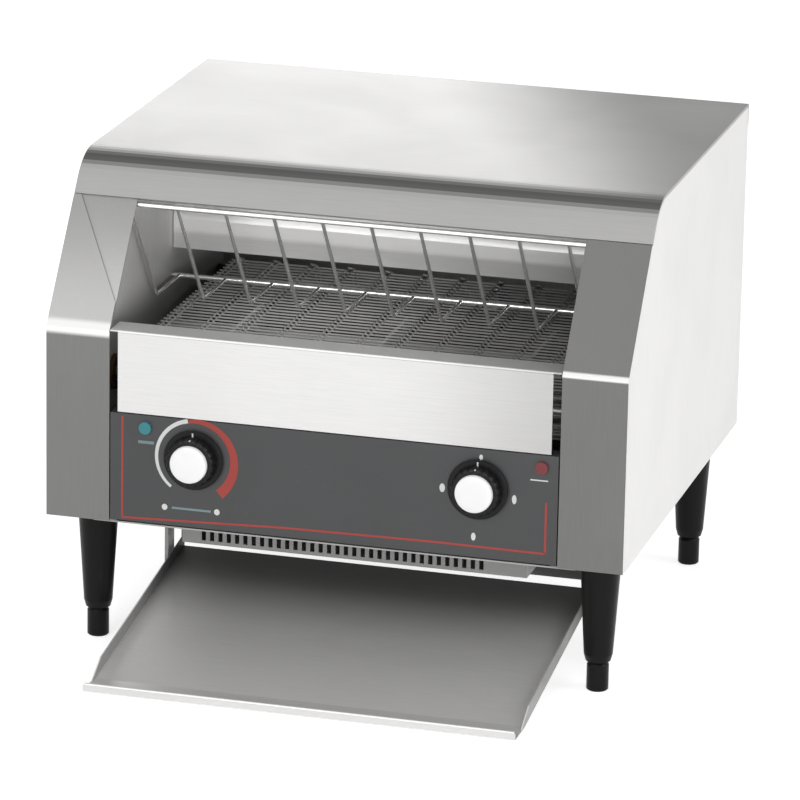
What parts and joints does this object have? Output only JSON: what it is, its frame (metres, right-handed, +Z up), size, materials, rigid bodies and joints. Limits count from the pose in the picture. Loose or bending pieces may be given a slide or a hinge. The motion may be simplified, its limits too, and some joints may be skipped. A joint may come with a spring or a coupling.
{
  "type": "conveyor toaster",
  "caption": "Countertop conveyor toaster with a sloped loading opening, wire belt, heating tunnel, return slide and front tray, on four adjustable legs.",
  "frame": {"origin": "on the table, in the middle of the space that the toaster takes up", "axes": "+Z up, +Y towards the back, +X towards the right side seen from the front"},
  "size_m": [0.468, 0.52, 0.387],
  "materials": {
    "satin_steel": "satin brushed stainless steel",
    "bright_steel": "bright stainless steel",
    "inner_steel": "plain mill-finish steel",
    "panel_print": "dark grey printed panel with a red line",
    "belt_wire": "heat-dulled wire",
    "chrome_rod": "bright chrome",
    "turned_steel": "machined",
    "bronze": "sintered bronze",
    "heater_sheath": "heat-blued sheath",
    "ceramic": "white ceramic",
    "motor_paint": "grey paint",
    "black_plastic": "black moulding",
    "leg_black": "glossy black legs",
    "white_plastic": "white cap",
    "dark_plastic": "dark moulding",
    "cream_plastic": "cream moulding",
    "teal_lens": "teal lens",
    "red_lens": "red lens"
  },
  "bodies": {
    "root": {"top_cover": "satin_steel", "left_side_panel": "satin_steel", "right_side_panel": "satin_steel", "left_corner_plate": "satin_steel", "front_fascia": "bright_steel", "control_panel": "panel_print", "base_pan": "inner_steel", "air_duct": "satin_steel", "back_panel": "satin_steel", "left_inner_wall": "inner_steel", "right_inner_wall": "inner_steel", "tunnel_hood": "bright_steel", "upper_reflector": "inner_steel", "lower_reflector": "inner_steel", "upper_heaters": "heater_sheath", "lower_heaters": "heater_sheath", "heater_ceramics": "ceramic", "conveyor_belt": "belt_wire", "belt_rails": "belt_wire", "shaft_bushes": "bronze", "drive_chain": "belt_wire", "gear_motor": "motor_paint", "motor_plate": "inner_steel", "fan_frame": "black_plastic", "guard_rods": "chrome_rod", "return_slide": "inner_steel", "tray_hangers": "inner_steel", "leg_front_left": "leg_black", "leg_front_right": "leg_black", "leg_back_left": "leg_black", "leg_back_right": "leg_black", "leg_bolts": "turned_steel", "speed_regulator": "dark_plastic", "mode_switch": "cream_plastic", "power_lamp": "teal_lens", "heat_lamp": "red_lens", "terminal_block": "cream_plastic", "cable_gland": "black_plastic", "casing_screws": "turned_steel"},
    "belt_drive": {"drive_shaft": "turned_steel", "drive_wheels": "turned_steel", "shaft_sprocket": "turned_steel"},
    "belt_idler": {"idler_shaft": "turned_steel", "idler_wheels": "turned_steel"},
    "motor_output": {"motor_sprocket": "turned_steel"},
    "fan": {"fan_rotor": "black_plastic"},
    "speed_control": {"speed_knob": "black_plastic", "speed_cap": "white_plastic"},
    "mode_control": {"mode_knob": "black_plastic", "mode_cap": "white_plastic"},
    "tray": {"toast_tray": "satin_steel"},
    "foot_fl": {"foot_front_left": "leg_black"},
    "foot_fr": {"foot_front_right": "leg_black"},
    "foot_bl": {"foot_back_left": "leg_black"},
    "foot_br": {"foot_back_right": "leg_black"}
  },
  "joints": [
    {"name": "belt_drive_spin", "type": "hinge", "parent": "root", "child": "belt_drive", "pos_m": [0, 0.158, 0.219], "axis": [1, 0, 0], "continuous": true},
    {"name": "belt_idler_spin", "type": "hinge", "parent": "root", "child": "belt_idler", "pos_m": [0, -0.12, 0.219], "axis": [1, 0, 0], "continuous": true},
    {"name": "motor_output_spin", "type": "hinge", "parent": "root", "child": "motor_output", "pos_m": [0.21, -0.032, 0.154], "axis": [1, 0, 0], "continuous": true},
    {"name": "fan_spin", "type": "hinge", "parent": "root", "child": "fan", "pos_m": [-0.07, -0.062, 0.122], "axis": [0, 0, 1], "continuous": true},
    {"name": "speed_knob_turn", "type": "hinge", "parent": "root", "child": "speed_control", "pos_m": [-0.112, -0.172, 0.17], "axis": [0, 1, 0], "range_deg": [0, 270]},
    {"name": "mode_knob_turn", "type": "hinge", "parent": "root", "child": "mode_control", "pos_m": [0.118, -0.172, 0.17], "axis": [0, 1, 0], "range_deg": [0, 270]},
    {"name": "tray_slide", "type": "slide", "parent": "root", "child": "tray", "axis": [0, -1, 0], "range_m": [0, 0.16]},
    {"name": "foot_front_left_turn", "type": "hinge", "parent": "root", "child": "foot_fl", "pos_m": [-0.206, -0.126, 0.012], "axis": [0, 0, 1], "range_deg": [-360, 360]},
    {"name": "foot_front_right_turn", "type": "hinge", "parent": "root", "child": "foot_fr", "pos_m": [0.206, -0.126, 0.012], "axis": [0, 0, 1], "range_deg": [-360, 360]},
    {"name": "foot_back_left_turn", "type": "hinge", "parent": "root", "child": "foot_bl", "pos_m": [-0.206, 0.2, 0.012], "axis": [0, 0, 1], "range_deg": [-360, 360]},
    {"name": "foot_back_right_turn", "type": "hinge", "parent": "root", "child": "foot_br", "pos_m": [0.206, 0.2, 0.012], "axis": [0, 0, 1], "range_deg": [-360, 360]}
  ],
  "couplings": [
    {"joint": "belt_idler_spin", "follows": "belt_drive_spin", "ratio": 1},
    {"joint": "motor_output_spin", "follows": "belt_drive_spin", "ratio": 1.5714}
  ]
}
